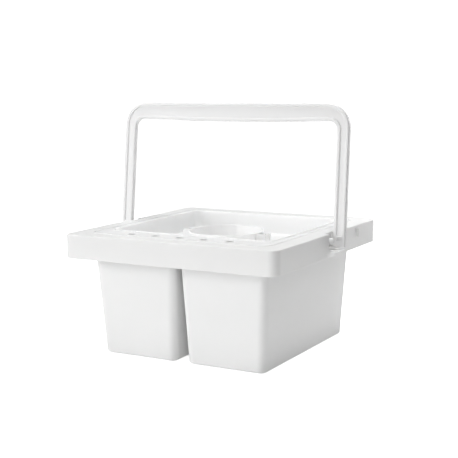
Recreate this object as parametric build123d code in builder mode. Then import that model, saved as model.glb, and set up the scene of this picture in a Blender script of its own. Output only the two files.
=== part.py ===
"""Cleaning caddy: twin-tub body, lift-out tray, round cup and folding carry handle.

Millimetres, +Z up.  X runs along the front, Y to the back, the tubs stand on Z = 0.
"""
import os
from math import cos, radians, sin

from build123d import *

os.makedirs("parts", exist_ok=True)

# ---- shared: how far forms sink into each other, and how far a cut runs past ------
sink = 1.0
past = 1.0

# ---- body: rim, skirt and tubs -------------------------------------------------
rim_half_x = 165.0
rim_half_y = 166.6
rim_top = 172.0
rim_radius = 12.5
rim_thick = 2.4
skirt_bottom = 138.5
skirt_wall = 2.2
edge_round = 1.4
skirt_round = 0.7

tub_top = 140.8
tub_wall = 2.4
tub_floor = 2.6
tub_radius = 10.3
tub_foot_round = 4.5
saddle_thick = 2.4
tub_foot_recess = 1.0
tub_foot_width = 9.0
tub_foot_corner = 4.0
tub_base_half_x = 126.9
tub_base_half_y = 128.7
tub_slope_x = 0.0597
tub_slope_y = 0.0638
gap_base_half = 9.4
gap_slope = 0.0385

seat_top = 167.0
seat_thick = 2.4
seat_inner_x = 134.0
seat_inner_y = 136.4
seat_wall = 2.4
opening_x = 138.4
opening_y = 139.6
opening_wall = 2.2
opening_radius = 14.0
opening_cut = 20.0
bead_width = 2.2
bead_rise = 0.8
bead_round = 0.6

rib_thick = 2.0
rib_drop = 16.0
rib_clear = 1.0
rib_spots = (-110.0, -55.0, 55.0, 110.0)

# ---- pivots --------------------------------------------------------------------
pivot_y = 5.0
pivot_z = 160.0
pocket_face = 158.6
pocket_half = 12.0
pocket_floor = 2.4
pocket_bottom = 153.2
pocket_corner = 2.5
pocket_depth = 30.0
bracket_gap = 0.1
bracket_low = 146.6
bracket_cut = 14.0
lip_reach = 14.0
lip_thick = 2.4
lip_half = 11.0
lip_round = 1.1
pin_radius = 2.7
pin_clear = 0.06
pin_head_radius = 5.5
pin_head_thick = 2.8
pin_head_gap = 0.5
pin_head_round = 0.8
pin_tip = 170.0
pin_end_gap = 0.3
nib_y = 93.0
nib_width = 3.0
nib_reach = 3.0
nib_low = 155.0
nib_high = 167.0

# ---- tray ----------------------------------------------------------------------
tray_gap = 0.7
tray_lift = 0.3
tray_top = 172.6
tray_plate = 2.0
tray_side = 125.5
tray_back = 127.0
tray_front = -104.0
tray_draft = 3.0
tray_wall = 2.0
tray_radius = 13.0
tray_floor_low = 142.0
tray_floor = 2.0
tray_floor_round = 3.0
flange_round = 0.9
tray_bead = 2.6
tray_bead_rise = 0.8
groove_width = 1.8
groove_depth = 0.9
hole_radius = 6.0
hole_round = 1.4
hole_step = 38.4
hole_y = -126.0
hole_count = 5
ring_inner = 51.9
ring_wall = 2.0
ring_height = 4.0

# ---- round cup -----------------------------------------------------------------
cup_low = 144.3
cup_top = 166.4
cup_base_radius = 50.6
cup_top_radius = 54.6
cup_wall = 1.7
cup_bead = 1.2
ear_reach = 13.0
ear_half = 9.0
ear_wall = 2.0
ear_drop = 15.0
ear_top = 164.8
ear_rib_width = 2.2
ear_rib_rise = 1.2

# ---- handle --------------------------------------------------------------------
lean = 6.0
arm_inner = 166.7
arm_width = 17.6
arm_slant = 1.6
handle_thick = 8.0
bar_top = 189.0
bar_bottom_end = 165.0
bar_bottom_mid = 162.3
swell_half = 60.0
outer_corner = 34.0
inner_corner = 13.0
bead_line = 5.0
web_depth = 1.8
end_low = -8.0
end_round = 2.5
boss_radius = 4.8
boss_gap = 0.5
web_start = 8.2
web_corner = 2.0
notch_low = 1.0
notch_high = 5.0
notch_corner = 1.2
bead_soft = 2.2
bead_inner_soft = 1.4


def rounded(z, half_x, half_y, radius, mid_x=0.0, mid_y=0.0):
    """One rounded rectangle on the level z."""
    with BuildSketch(Plane.XY.offset(z)) as level:
        with Locations((mid_x, mid_y)):
            RectangleRounded(2 * half_x, 2 * half_y, radius)
    return level


def tub_level(z, side, inset):
    """Half sizes and centre of one tub's section, moved inwards by inset."""
    outer = tub_base_half_x + tub_slope_x * z - inset
    inner = gap_base_half - gap_slope * z + inset
    half_y = tub_base_half_y + tub_slope_y * z - inset
    return rounded(z, (outer - inner) / 2, half_y, tub_radius - inset, side * (outer + inner) / 2)


def tub_solid(side, low, high, inset):
    """Tapered tub, between two levels."""
    with BuildPart() as tub:
        add(tub_level(low, side, inset).sketch)
        add(tub_level(high, side, inset).sketch)
        loft()
    return tub


# ---- caddy body ----------------------------------------------------------------
left_outer = tub_solid(-1, 0.0, tub_top, 0.0)
right_outer = tub_solid(1, 0.0, tub_top, 0.0)
left_inner = tub_solid(-1, tub_floor, tub_top + past, tub_wall)
right_inner = tub_solid(1, tub_floor, tub_top + past, tub_wall)
saddle_low = tub_top - saddle_thick
low_x = tub_base_half_x + tub_slope_x * saddle_low
low_y = tub_base_half_y + tub_slope_y * saddle_low

with BuildPart() as basin_inner:
    add(rounded(tub_top, low_x - tub_wall, low_y - tub_wall, tub_radius - tub_wall).sketch)
    add(rounded(seat_top, seat_inner_x, seat_inner_y, tub_radius - sink).sketch)
    loft()

with BuildPart() as caddy_body:
    add(left_outer.part)
    add(right_outer.part)
    tub_edges = caddy_body.edges().filter_by_position(Axis.Z, -0.01, 0.01)
    fillet(tub_edges, tub_foot_round)
    # basin walls and seat
    add(rounded(saddle_low, low_x, low_y, tub_radius).sketch)
    add(rounded(seat_top - seat_thick, seat_inner_x + seat_wall, seat_inner_y + seat_wall,
                tub_radius + sink).sketch)
    loft()
    add(rounded(seat_top - seat_thick, opening_x + opening_wall, opening_y + opening_wall,
                opening_radius + opening_wall).sketch)
    extrude(amount=rim_top - seat_top + seat_thick)
    # rim plate
    add(rounded(rim_top - rim_thick, rim_half_x, rim_half_y, rim_radius).sketch)
    extrude(amount=rim_thick)
    # skirt
    with BuildSketch(Plane.XY.offset(skirt_bottom)):
        RectangleRounded(2 * rim_half_x, 2 * rim_half_y, rim_radius)
        RectangleRounded(2 * (rim_half_x - skirt_wall), 2 * (rim_half_y - skirt_wall),
                         rim_radius - skirt_wall, mode=Mode.SUBTRACT)
    extrude(amount=rim_top - skirt_bottom - sink)
    rim_edges = caddy_body.faces().sort_by(Axis.Z)[-1].outer_wire().edges()
    fillet(rim_edges, edge_round)
    skirt_feet = caddy_body.faces().filter_by_position(Axis.Z, skirt_bottom - 0.1, skirt_bottom + 0.1)
    fillet(skirt_feet.sort_by(SortBy.AREA)[-1].outer_wire().edges(), skirt_round)
    # raised bead round the opening
    with BuildSketch(Plane.XY.offset(rim_top - sink)):
        RectangleRounded(2 * (opening_x + bead_width), 2 * (opening_y + bead_width),
                         opening_radius + bead_width)
    extrude(amount=bead_rise + sink)
    bead_edges = caddy_body.faces().sort_by(Axis.Z)[-1].outer_wire().edges()
    fillet(bead_edges, bead_round)
    # stop nib behind each pivot, with a round nose
    for side in (-1, 1):
        nose = rim_half_x + nib_reach - nib_width / 2
        with BuildSketch(Plane.XY.offset(nib_low)):
            with Locations((side * nose, nib_y)):
                Circle(nib_width / 2)
            with Locations((side * (rim_half_x - sink + nose) / 2, nib_y)):
                Rectangle(nose - rim_half_x + sink, nib_width)
        extrude(amount=nib_high - nib_low)
    # stiffening ribs between skirt and tubs
    for spot in rib_spots:
        for side in (-1, 1):
            with BuildSketch(Plane.XY.offset(rim_top - sink)):
                with Locations((side * (rim_half_x + seat_inner_x) / 2, spot)):
                    Rectangle(rim_half_x - seat_inner_x - 2 * rib_clear, rib_thick)
                with Locations((spot, side * (rim_half_y + seat_inner_y) / 2)):
                    Rectangle(rib_thick, rim_half_y - seat_inner_y - 2 * rib_clear)
            extrude(amount=-rib_drop)
    # hollow out
    with BuildSketch(Plane.XY.offset(seat_top)):
        RectangleRounded(2 * opening_x, 2 * opening_y, opening_radius)
    extrude(amount=opening_cut, mode=Mode.SUBTRACT)
    add(basin_inner.part, mode=Mode.SUBTRACT)
    add(left_inner.part, mode=Mode.SUBTRACT)
    add(right_inner.part, mode=Mode.SUBTRACT)
    # foot recess under each tub
    for side in (-1, 1):
        mid = side * (tub_base_half_x + gap_base_half) / 2
        half = (tub_base_half_x - gap_base_half) / 2 - tub_foot_width
        with BuildSketch(Plane.XY):
            with Locations((mid, 0)):
                RectangleRounded(2 * half, 2 * (tub_base_half_y - tub_foot_width), tub_foot_corner)
        extrude(amount=tub_foot_recess, mode=Mode.SUBTRACT)
    # notches for the pivot brackets
    for side in (-1, 1):
        with BuildSketch(Plane.YZ.offset(side * (pocket_face - pocket_floor - bracket_gap))):
            with Locations((pivot_y, bracket_low - bracket_gap + pocket_depth / 2)):
                Rectangle(2 * (pocket_half + pocket_floor + bracket_gap), pocket_depth)
        extrude(amount=side * bracket_cut, mode=Mode.SUBTRACT)
caddy_body.part.label = "caddy_body"
export_step(caddy_body.part, "parts/caddy_body.step")

# ---- pivot brackets ------------------------------------------------------------
# open-topped pocket pushed down into the notch of the rim, with a small lip below the arm
bracket_half = pocket_half + pocket_floor
bracket_back = pocket_face - pocket_floor
for name, side in (("pivot_bracket_left", -1), ("pivot_bracket_right", 1)):
    with BuildPart() as bracket:
        with BuildSketch(Plane.YZ.offset(side * bracket_back)):
            with Locations((pivot_y, (bracket_low + rim_top) / 2)):
                Rectangle(2 * bracket_half, rim_top - bracket_low)
        extrude(amount=side * (rim_half_x - bracket_back))
        outer_face = bracket.faces().sort_by(Axis.X)[0 if side < 0 else -1]
        fillet(outer_face.edges().sort_by(Axis.Z)[-1:], edge_round)
        with BuildSketch(Plane.YZ.offset(side * (rim_half_x - sink))):
            with Locations((pivot_y, bracket_low + lip_thick / 2)):
                RectangleRounded(2 * lip_half, lip_thick, lip_round)
        extrude(amount=side * (lip_reach + sink))
        with BuildSketch(Plane.YZ.offset(side * pocket_face)):
            with Locations((pivot_y, pocket_bottom + pocket_depth / 2)):
                RectangleRounded(2 * pocket_half, pocket_depth, pocket_corner)
        extrude(amount=side * (rim_half_x - pocket_face + past), mode=Mode.SUBTRACT)
        with BuildSketch(Plane.YZ.offset(side * (bracket_back - past))):
            with Locations((pivot_y, pivot_z)):
                Circle(pin_radius + pin_clear)
        extrude(amount=side * (pocket_floor + 2 * past), mode=Mode.SUBTRACT)
    bracket.part.label = name
    export_step(bracket.part, f"parts/{name}.step")

# ---- insert tray ---------------------------------------------------------------
flange_x = opening_x - tray_gap
flange_y = opening_y - tray_gap
flange_radius = opening_radius - tray_gap
tray_mid = (tray_back + tray_front) / 2
tray_half = (tray_back - tray_front) / 2
tray_floor_top = tray_floor_low + tray_floor
well_radius = tray_radius + tray_wall
low_radius = tray_radius - 2.0

with BuildPart() as tray_space:
    add(rounded(tray_floor_top, tray_side - tray_draft, tray_half - tray_draft, low_radius,
                0, tray_mid).sketch)
    add(rounded(tray_top + 3 * past, tray_side, tray_half, tray_radius, 0, tray_mid).sketch)
    loft()
    fillet(tray_space.faces().sort_by(Axis.Z)[0].edges(), tray_floor_round)

with BuildPart() as insert_tray:
    add(rounded(tray_floor_low, tray_side - tray_draft + tray_wall, tray_half - tray_draft + tray_wall,
                low_radius + tray_wall, 0, tray_mid).sketch)
    add(rounded(tray_top, tray_side + tray_wall, tray_half + tray_wall, well_radius, 0, tray_mid).sketch)
    loft()
    # flange with its turned-down edge
    add(rounded(tray_top - tray_plate, flange_x, flange_y, flange_radius).sketch)
    extrude(amount=tray_plate)
    with BuildSketch(Plane.XY.offset(seat_top + tray_lift)):
        RectangleRounded(2 * flange_x, 2 * flange_y, flange_radius)
        RectangleRounded(2 * (flange_x - tray_wall), 2 * (flange_y - tray_wall),
                         flange_radius - tray_wall, mode=Mode.SUBTRACT)
    extrude(amount=tray_top - seat_top - tray_lift - sink)
    flange_edges = insert_tray.faces().sort_by(Axis.Z)[-1].outer_wire().edges()
    fillet(flange_edges, flange_round)
    # raised bead round the tray and the groove outside it
    add(rounded(tray_top - sink, tray_side + tray_bead, tray_half + tray_bead,
                tray_radius + tray_bead, 0, tray_mid).sketch)
    extrude(amount=tray_bead_rise + sink)
    with BuildSketch(Plane.XY.offset(tray_top)):
        with Locations((0, tray_mid)):
            RectangleRounded(2 * (tray_side + tray_bead + groove_width),
                             2 * (tray_half + tray_bead + groove_width),
                             tray_radius + tray_bead + groove_width)
            RectangleRounded(2 * (tray_side + tray_bead), 2 * (tray_half + tray_bead),
                             tray_radius + tray_bead, mode=Mode.SUBTRACT)
    extrude(amount=-groove_depth, mode=Mode.SUBTRACT)
    add(tray_space.part, mode=Mode.SUBTRACT)
    bead_rim = insert_tray.faces().sort_by(Axis.Z)[-1].edges()
    fillet(bead_rim, bead_round)
    # ring that keeps the round cup in place
    with BuildSketch(Plane.XY.offset(tray_floor_top - sink)):
        Circle(ring_inner + ring_wall)
        Circle(ring_inner, mode=Mode.SUBTRACT)
    extrude(amount=ring_height + sink)
    # five tool holes in the front shelf, with rounded edges
    with BuildSketch(Plane.XY.offset(tray_top + past)):
        with Locations((0, hole_y)):
            with GridLocations(hole_step, 1, hole_count, 1):
                Circle(hole_radius)
    extrude(amount=-tray_plate - 2 * past, mode=Mode.SUBTRACT)
    hole_edges = insert_tray.edges().filter_by(GeomType.CIRCLE)
    hole_edges = hole_edges.filter_by_position(Axis.Z, tray_top - 0.01, tray_top + 0.01)
    fillet(hole_edges.filter_by(lambda e: abs(e.radius - hole_radius) < 0.01), hole_round)
insert_tray.part.label = "insert_tray"
export_step(insert_tray.part, "parts/insert_tray.step")

# ---- round cup -----------------------------------------------------------------
ear_end = cup_top_radius - cup_wall / 2 + ear_reach
ear_length = ear_reach + cup_wall / 2

with BuildPart() as round_cup:
    with BuildSketch(Plane.XZ):
        with BuildLine():
            Polyline(
                (0, cup_low),
                (cup_base_radius, cup_low),
                (cup_top_radius, cup_top - cup_bead),
                (cup_top_radius - cup_wall, cup_top - cup_bead),
                (cup_base_radius - cup_wall, cup_low + cup_wall),
                (0, cup_low + cup_wall),
                (0, cup_low),
            )
        make_face()
    revolve(axis=Axis.Z)
    with BuildSketch(Plane.XZ):
        with Locations((cup_top_radius - cup_wall / 2, cup_top - cup_bead)):
            Circle(cup_bead)
    revolve(axis=Axis.Z)
    # finger ears
    for side in (-1, 1):
        with BuildSketch(Plane.XY.offset(ear_top)):
            with Locations((side * (ear_end - ear_length / 2), 0)):
                Rectangle(ear_length, 2 * ear_half)
                Rectangle(ear_length - 2 * ear_wall, 2 * (ear_half - ear_wall), mode=Mode.SUBTRACT)
            for rib in (-1, 0, 1):
                with Locations((side * ear_end, rib * (ear_half - ear_rib_width / 2))):
                    Rectangle(2 * ear_rib_rise, ear_rib_width)
        extrude(amount=-ear_drop)
round_cup.part.label = "round_cup"
export_step(round_cup.part, "parts/round_cup.step")

# ---- handle --------------------------------------------------------------------
# drawn in its own plane, which leans back about the pivot line
arm_outer = arm_inner + arm_width
slant = arm_slant / bar_top
bail = Plane(origin=(0, pivot_y, pivot_z), x_dir=(1, 0, 0),
             z_dir=(0, -cos(radians(lean)), sin(radians(lean))))


def ranked(block):
    """Edges that run through the handle's thickness, from the arm ends up to the bar."""
    through = block.edges().filter_by(Axis(bail.origin, bail.z_dir))
    return through.sort_by(Axis(bail.origin, bail.y_dir))


def bail_prism(start, depth, inset, low, corner):
    """The U of the handle, inset from its edges and cut off at the height low."""
    top = bar_top - inset
    end = bar_bottom_end + inset
    middle = bar_bottom_mid + inset
    out_low = arm_outer - inset - slant * low
    in_low = arm_inner + inset - slant * low
    out_top = arm_outer - inset - slant * top
    in_top = arm_inner + inset - slant * end
    with BuildPart() as prism:
        with BuildSketch(start):
            with BuildLine():
                Polyline((-in_top, end), (-in_low, low), (-out_low, low), (-out_top, top),
                         (out_top, top), (out_low, low), (in_low, low), (in_top, end),
                         (swell_half, middle), (-swell_half, middle), close=True)
            make_face()
        extrude(amount=depth)
        fillet(ranked(prism)[6:8], inner_corner + inset)
        fillet(ranked(prism)[-2:], outer_corner - inset)
        fillet(ranked(prism)[:4], corner)
    return prism


half_thick = handle_thick / 2
bail_block = bail_prism(bail.offset(-half_thick), handle_thick, 0.0, end_low, end_round)
web_front = bail_prism(bail.offset(half_thick - web_depth), web_depth + past, bead_line, web_start,
                       web_corner)
web_back = bail_prism(bail.offset(-half_thick - past), web_depth + past, bead_line, web_start,
                      web_corner)

with BuildPart() as handle:
    add(bail_block.part)
    flat_faces = handle.faces().filter_by(Axis(bail.origin, bail.z_dir))
    fillet(flat_faces.edges(), bead_soft)
    # recessed web between two beads, front and back
    add(web_front.part, mode=Mode.SUBTRACT)
    add(web_back.part, mode=Mode.SUBTRACT)
    bead_tops = handle.faces().filter_by(Axis(bail.origin, bail.z_dir)).filter_by(lambda f: f.inner_wires())
    fillet([edge for top in bead_tops for edge in top.inner_wires()[0].edges()], bead_inner_soft)
    for turn in (-1, 1):
        with BuildSketch(bail.offset(turn * half_thick)):
            for arm in (-1, 1):
                with Locations((arm * (arm_inner + arm_width / 2), (notch_low + notch_high) / 2)):
                    RectangleRounded(arm_width - 2 * bead_line, notch_high - notch_low, notch_corner)
        extrude(amount=-turn * web_depth, mode=Mode.SUBTRACT)
    # round bosses that sit in the pockets, each with its pin socket
    for side in (-1, 1):
        with BuildSketch(Plane.YZ.offset(side * (pocket_face + boss_gap))):
            with Locations((pivot_y, pivot_z)):
                Circle(boss_radius)
        extrude(amount=side * (arm_inner + 1.6 * sink - pocket_face - boss_gap))
    for side in (-1, 1):
        with BuildSketch(Plane.YZ.offset(side * (pocket_face - past))):
            with Locations((pivot_y, pivot_z)):
                Circle(pin_radius)
        extrude(amount=side * (pin_tip + pin_end_gap - pocket_face + past), mode=Mode.SUBTRACT)
handle.part.label = "handle"
export_step(handle.part, "parts/handle.step")

# ---- pivot pins ----------------------------------------------------------------
head_start = pocket_face - pocket_floor - pin_head_gap - pin_head_thick
for name, side in (("pivot_pin_left", -1), ("pivot_pin_right", 1)):
    with BuildPart() as pin:
        with BuildSketch(Plane.YZ.offset(side * head_start)):
            with Locations((pivot_y, pivot_z)):
                Circle(pin_head_radius)
        extrude(amount=side * pin_head_thick)
        fillet(pin.faces().filter_by(Axis.X).edges(), pin_head_round)
        with BuildSketch(Plane.YZ.offset(side * (head_start + pin_head_thick - sink))):
            with Locations((pivot_y, pivot_z)):
                Circle(pin_radius)
        extrude(amount=side * (pin_tip - head_start - pin_head_thick + sink))
    pin.part.label = name
    export_step(pin.part, f"parts/{name}.step")
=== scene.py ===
"""Cleaning caddy: moulded plastics, light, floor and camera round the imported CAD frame."""
from math import cos, radians, sin

import bpy
from mathutils import Matrix, Vector

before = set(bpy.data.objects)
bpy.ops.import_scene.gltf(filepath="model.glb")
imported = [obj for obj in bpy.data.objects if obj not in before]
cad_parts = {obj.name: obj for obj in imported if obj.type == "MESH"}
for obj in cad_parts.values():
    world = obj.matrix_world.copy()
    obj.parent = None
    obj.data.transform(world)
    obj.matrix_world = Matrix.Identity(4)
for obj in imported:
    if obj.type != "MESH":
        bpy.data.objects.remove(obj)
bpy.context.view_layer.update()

# ---- camera: place in metres, angles in degrees, lens and sensor in millimetres ------
CAMERA_PLACE = (0.7364, -1.3023, 0.3853)
CAMERA_YAW = 29.327
CAMERA_PITCH = -8.282
CAMERA_ROLL = -0.536
CAMERA_LENS = 82.23
CAMERA_SENSOR = 36.0
CAMERA_NEAR = 0.05

# ---- room: how strong it is to the camera, and the weaker fill that it sheds ---------
WHITE = (1.0, 1.0, 1.0, 1.0)
BACKDROP = 1.1
FILL = 0.46
FILL_FROM = (-1.0, 0.15, 0.2)
FILL_FOCUS = 2.0

# ---- floor: metres out from the middle, and what shines there ------------------------
FLOOR_REACH = 1.2
FLOOR_DROP = -0.0002
FLOOR_COLOUR = (0.9, 0.9, 0.9, 1.0)
FLOOR_ROUGH = 0.8
FLOOR_SIDES = ((-1, -1), (1, -1), (1, 1), (-1, 1))
GLOW = 0.37
GLOW_UNDER = 0.38
GLOW_START = (0.126, 0.152)
GLOW_REACH = (0.152, 0.48)
# Camera-only glow, lower near the object: painted shade on the floor round the base.
SWEEP = (0.62, 1.0)
SWEEP_REACH = (0.16, 0.75)

# ---- soft boxes: the point that all of them face -------------------------------------
LIGHT_AIM = (0.0, 0.0, 0.1)

# ---- surface patterns: scale per metre, detail and distortion ------------------------
CLOUD = (9.0, 4.0, 0.0)
FLOW = (70.0, 3.0, 0.6)
SCUFF = (55.0, 7.0, 1.8)
HAIR = (900.0, 1.0, 4.0)
GRAIN_DETAIL = 2.0
DRAW_STRETCH = (1.0, 1.0, 0.12)

# ---- the part of each pattern's range that counts ------------------------------------
UNIT = (0.0, 1.0)
CLOUD_RANGE = (0.3, 0.7)
MIDDLE_RANGE = (0.35, 0.65)
SCUFF_RANGE = (0.35, 0.70)
HAIR_RANGE = (0.70, 0.76)
HAIR_PATCHES = (0.52, 0.66)
EDGE_RADIUS = 0.0008
EDGE_SAMPLES = 4
EDGE_TURN = (0.995, 0.86)
RUB_PATCHES = (0.75, 1.0)

# ---- what the patterns do to colour, gloss and relief --------------------------------
CLOUD_SHADE = 0.978
RUB_LIFT = 1.015
PALEST = 0.97
SCUFF_SHINE = 0.04
SCUFF_DULL = 0.07
FLOW_GLOSS = (-0.025, 0.025)
SCRATCH_DULL = 0.16
RUB_SHINE = 0.12
GRAIN_DEPTH = 0.0001
RIPPLE_DEPTH = 0.0003
RIPPLE_STRENGTH = 0.12
MILK_RADIUS = (1.0, 0.96, 0.92)
MILK_DEPTH = 0.006


def make_camera():
    """Camera to the front right of the object, looking slightly down on it."""
    data = bpy.data.cameras.new("camera")
    data.lens = CAMERA_LENS
    data.sensor_width = CAMERA_SENSOR
    data.clip_start = CAMERA_NEAR
    camera = bpy.data.objects.new("camera", data)
    bpy.context.scene.collection.objects.link(camera)
    turn = Matrix.Rotation(radians(CAMERA_YAW), 4, "Z")
    tilt = Matrix.Rotation(radians(90 + CAMERA_PITCH), 4, "X")
    roll = Matrix.Rotation(radians(CAMERA_ROLL), 4, "Z")
    camera.matrix_world = Matrix.Translation(CAMERA_PLACE) @ turn @ tilt @ roll
    bpy.context.scene.camera = camera


def feed(tree, node, inputs):
    """Feeds each input of a node, from another node's output or with a plain value."""
    for name, value in inputs.items():
        if isinstance(value, bpy.types.NodeSocket):
            tree.links.new(value, node.inputs[name])
        else:
            node.inputs[name].default_value = value


def add_node(tree, kind, inputs, **settings):
    """A new node with its settings, then its inputs."""
    node = tree.nodes.new(kind)
    for name, value in settings.items():
        setattr(node, name, value)
    feed(tree, node, inputs)
    return node


def noise(tree, vector, scale, detail, distortion):
    """One noise pattern on the given coordinates."""
    inputs = {"Vector": vector, "Scale": scale, "Detail": detail, "Distortion": distortion}
    return add_node(tree, "ShaderNodeTexNoise", inputs).outputs["Fac"]


def remap(tree, value, source, target):
    """A value from one range turned into another, and kept inside it."""
    inputs = {
        "Value": value,
        "From Min": source[0],
        "From Max": source[1],
        "To Min": target[0],
        "To Max": target[1],
    }
    return add_node(tree, "ShaderNodeMapRange", inputs).outputs["Result"]


def maths(tree, operation, first, second):
    """Two values through one math node."""
    node = add_node(tree, "ShaderNodeMath", {0: first, 1: second}, operation=operation)
    return node.outputs["Value"]


def dot(tree, first, second):
    """How far two directions agree."""
    node = add_node(tree, "ShaderNodeVectorMath", {0: first, 1: second}, operation="DOT_PRODUCT")
    return node.outputs["Value"]


def edge_mask(tree):
    """1 along the part's edges and 0 on its faces."""
    soft = add_node(tree, "ShaderNodeBevel", {"Radius": EDGE_RADIUS}, samples=EDGE_SAMPLES)
    geometry = tree.nodes.new("ShaderNodeNewGeometry")
    turn = dot(tree, soft.outputs["Normal"], geometry.outputs["Normal"])
    return remap(tree, turn, EDGE_TURN, UNIT)


def plastic_colour(tree, colour, cloud, rubbed, wear):
    """Colour with faint clouds in it, and paler where the edges are rubbed."""
    tone = add_node(tree, "ShaderNodeValToRGB", {"Fac": cloud})
    shade = [channel * CLOUD_SHADE for channel in colour]
    for element, place, value in zip(tone.color_ramp.elements, CLOUD_RANGE, (shade, colour)):
        element.position = place
        element.color = (*value, 1.0)
    pale = [min(PALEST, channel * RUB_LIFT) for channel in colour]
    inputs = {
        "Factor": maths(tree, "MULTIPLY", rubbed, wear),
        "A": tone.outputs["Color"],
        "B": (*pale, 1.0),
    }
    return add_node(tree, "ShaderNodeMix", inputs, data_type="RGBA").outputs["Result"]


def plastic_gloss(tree, rough, scuff, flow, hair, rubbed, wear):
    """Roughness: scuffed and streaked, dull in hair scratches, polished on rubbed edges."""
    gloss = remap(tree, scuff, SCUFF_RANGE, (rough - SCUFF_SHINE, rough + SCUFF_DULL))
    gloss = maths(tree, "ADD", gloss, remap(tree, flow, MIDDLE_RANGE, FLOW_GLOSS))
    scratches = maths(tree, "MULTIPLY", remap(tree, hair, HAIR_RANGE, UNIT),
                      remap(tree, scuff, HAIR_PATCHES, UNIT))
    gloss = maths(tree, "ADD", gloss, maths(tree, "MULTIPLY", scratches, SCRATCH_DULL))
    return maths(tree, "SUBTRACT", gloss, maths(tree, "MULTIPLY", rubbed, RUB_SHINE * wear))


def plastic_relief(tree, grain, fine, flow):
    """Fine moulded grain with low flow ripples over it."""
    skin = add_node(tree, "ShaderNodeBump", {
        "Strength": grain,
        "Distance": GRAIN_DEPTH,
        "Height": fine,
    })
    ripple = add_node(tree, "ShaderNodeBump", {
        "Strength": RIPPLE_STRENGTH,
        "Distance": RIPPLE_DEPTH,
        "Height": flow,
        "Normal": skin.outputs["Normal"],
    })
    return ripple.outputs["Normal"]


def plastic(name, colour, rough, grain, grain_scale, wear, milky):
    """Satin moulded polypropylene with grain, flow marks, scuffs and rubbed edges."""
    material = bpy.data.materials.new(name)
    material.use_nodes = True
    tree = material.node_tree
    place = tree.nodes.new("ShaderNodeTexCoord").outputs["Object"]
    mapping = add_node(tree, "ShaderNodeMapping", {"Vector": place, "Scale": DRAW_STRETCH})
    drawn = mapping.outputs["Vector"]

    cloud = noise(tree, place, *CLOUD)
    flow = noise(tree, drawn, *FLOW)
    scuff = noise(tree, place, *SCUFF)
    hair = noise(tree, drawn, *HAIR)
    fine = noise(tree, place, grain_scale, GRAIN_DETAIL, 0.0)
    patches = remap(tree, scuff, MIDDLE_RANGE, RUB_PATCHES)
    rubbed = maths(tree, "MULTIPLY", edge_mask(tree), patches)

    feed(tree, tree.nodes["Principled BSDF"], {
        "Base Color": plastic_colour(tree, colour, cloud, rubbed, wear),
        "Roughness": plastic_gloss(tree, rough, scuff, flow, hair, rubbed, wear),
        "Normal": plastic_relief(tree, grain, fine, flow),
        "Subsurface Weight": milky,
        "Subsurface Radius": MILK_RADIUS,
        "Subsurface Scale": MILK_DEPTH,
    })
    return material


def paint_nodes():
    """One plastic for each moulding, by the names of the frame's nodes."""
    body = plastic("body_plastic", (0.845, 0.845, 0.84), rough=0.42,
                   grain=0.30, grain_scale=1300.0, wear=0.35, milky=0.3)
    # The tray and cup are the same white plastic as the body, given a paler colour: a painted lift
    # that stands in for light on their shaded inner walls.
    tray = plastic("tray_plastic", (0.945, 0.945, 0.94), rough=0.40,
                   grain=0.22, grain_scale=1600.0, wear=0.25, milky=0.5)
    cup = plastic("cup_plastic", (0.93, 0.93, 0.93), rough=0.38,
                  grain=0.18, grain_scale=1800.0, wear=0.25, milky=0.5)
    # The handle is the same white plastic as the body, given a darker colour: painted shade that
    # tones down its brightly lit faces.
    grip = plastic("handle_plastic", (0.83, 0.83, 0.83), rough=0.36,
                   grain=0.14, grain_scale=2000.0, wear=0.25, milky=0.2)
    pin = plastic("pin_plastic", (0.84, 0.84, 0.835), rough=0.46,
                  grain=0.35, grain_scale=1000.0, wear=0.5, milky=0.2)
    finishes = {
        "caddy_body": body,
        "pivot_bracket_left": body,
        "pivot_bracket_right": body,
        "insert_tray": tray,
        "round_cup": cup,
        "handle": grip,
        "pivot_pin_left": pin,
        "pivot_pin_right": pin,
    }
    for name, material in finishes.items():
        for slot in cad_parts[name].material_slots:
            slot.material = material


def make_world():
    """White room; the fill that it sheds on the object comes from the left."""
    world = bpy.data.worlds.new("studio")
    world.use_nodes = True
    bpy.context.scene.world = world
    tree = world.node_tree
    outward = tree.nodes.new("ShaderNodeTexCoord").outputs["Generated"]
    facing = dot(tree, outward, Vector(FILL_FROM).normalized())
    lobe = maths(tree, "POWER", maths(tree, "MAXIMUM", facing, 0.0), FILL_FOCUS)
    fill = tree.nodes["Background"]
    feed(tree, fill, {"Color": WHITE, "Strength": maths(tree, "MULTIPLY", lobe, FILL)})
    backdrop = add_node(tree, "ShaderNodeBackground", {"Color": WHITE, "Strength": BACKDROP})
    ray = tree.nodes.new("ShaderNodeLightPath")
    choose = add_node(tree, "ShaderNodeMixShader", {
        0: ray.outputs["Is Camera Ray"],
        1: fill.outputs["Background"],
        2: backdrop.outputs["Background"],
    })
    feed(tree, tree.nodes["World Output"], {"Surface": choose.outputs["Shader"]})


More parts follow.
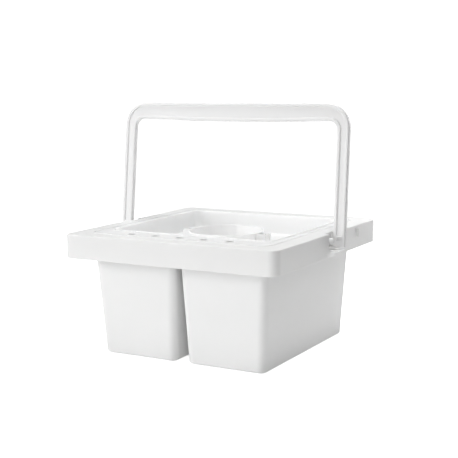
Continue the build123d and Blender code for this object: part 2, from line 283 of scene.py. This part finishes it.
def make_floor():
    """Pale paper that glows round the object and is white to the camera further off; both glows are
    weaker near the base, a painted shade on the floor there.
    """
    mesh = bpy.data.meshes.new("floor")
    corners = [(x * FLOOR_REACH, y * FLOOR_REACH, FLOOR_DROP) for x, y in FLOOR_SIDES]
    mesh.from_pydata(corners, [], [(0, 1, 2, 3)])
    floor = bpy.data.objects.new("floor", mesh)
    bpy.context.scene.collection.objects.link(floor)

    material = bpy.data.materials.new("floor_white")
    material.use_nodes = True
    tree = material.node_tree
    position = tree.nodes.new("ShaderNodeNewGeometry").outputs["Position"]
    size = add_node(tree, "ShaderNodeVectorMath", {0: position}, operation="ABSOLUTE")
    split = add_node(tree, "ShaderNodeSeparateXYZ", {"Vector": size.outputs["Vector"]})
    away = maths(tree, "MAXIMUM", split.outputs["X"], split.outputs["Y"])
    # The glow is kept lower close to the object's base: painted shade on the floor round the base.
    glow = maths(tree, "MULTIPLY", remap(tree, away, GLOW_START, (GLOW_UNDER, 1.0)),
                 remap(tree, away, GLOW_REACH, (GLOW, 0.0)))
    ray = tree.nodes.new("ShaderNodeLightPath")
    # A further glow that only the camera sees makes the floor white further off and is weaker near
    # the object: painted shade on the floor round the base.
    seen = maths(tree, "MULTIPLY", remap(tree, away, SWEEP_REACH, SWEEP),
                 ray.outputs["Is Camera Ray"])
    feed(tree, tree.nodes["Principled BSDF"], {
        "Base Color": FLOOR_COLOUR,
        "Roughness": FLOOR_ROUGH,
        "Emission Color": WHITE,
        "Emission Strength": maths(tree, "ADD", glow, seen),
    })
    mesh.materials.append(material)


def area_light(name, azimuth, height, distance, size, power):
    """Soft box that faces the object, placed by its angles and distance."""
    data = bpy.data.lights.new(name, "AREA")
    data.shape = "RECTANGLE"
    data.size, data.size_y = size
    data.energy = power
    flat = cos(radians(height))
    away = Vector((cos(radians(azimuth)) * flat, sin(radians(azimuth)) * flat, sin(radians(height))))
    light = bpy.data.objects.new(name, data)
    bpy.context.scene.collection.objects.link(light)
    light.location = Vector(LIGHT_AIM) + distance * away
    light.rotation_euler = (-away).to_track_quat("-Z", "Y").to_euler()
    light.visible_camera = False


def make_lights():
    """Soft boxes: the front left is the strongest, the right side is left in half shade."""
    area_light("key", azimuth=-132, height=15, distance=2.2, size=(1.6, 1.0), power=19.5)
    area_light("front_fill", azimuth=-62, height=20, distance=2.2, size=(1.2, 1.2), power=9.6)
    area_light("low_front", azimuth=-100, height=4, distance=1.6, size=(1.2, 0.3), power=2.1)
    area_light("back", azimuth=86, height=26, distance=2.0, size=(1.6, 1.4), power=10.8)
    area_light("back_right", azimuth=56, height=15, distance=0.9, size=(0.5, 0.5), power=1.9)
    area_light("overhead", azimuth=0, height=90, distance=1.3, size=(0.5, 0.5), power=12.2)


make_camera()
paint_nodes()
make_world()
make_floor()
make_lights()
bpy.context.scene.view_settings.view_transform = "Standard"
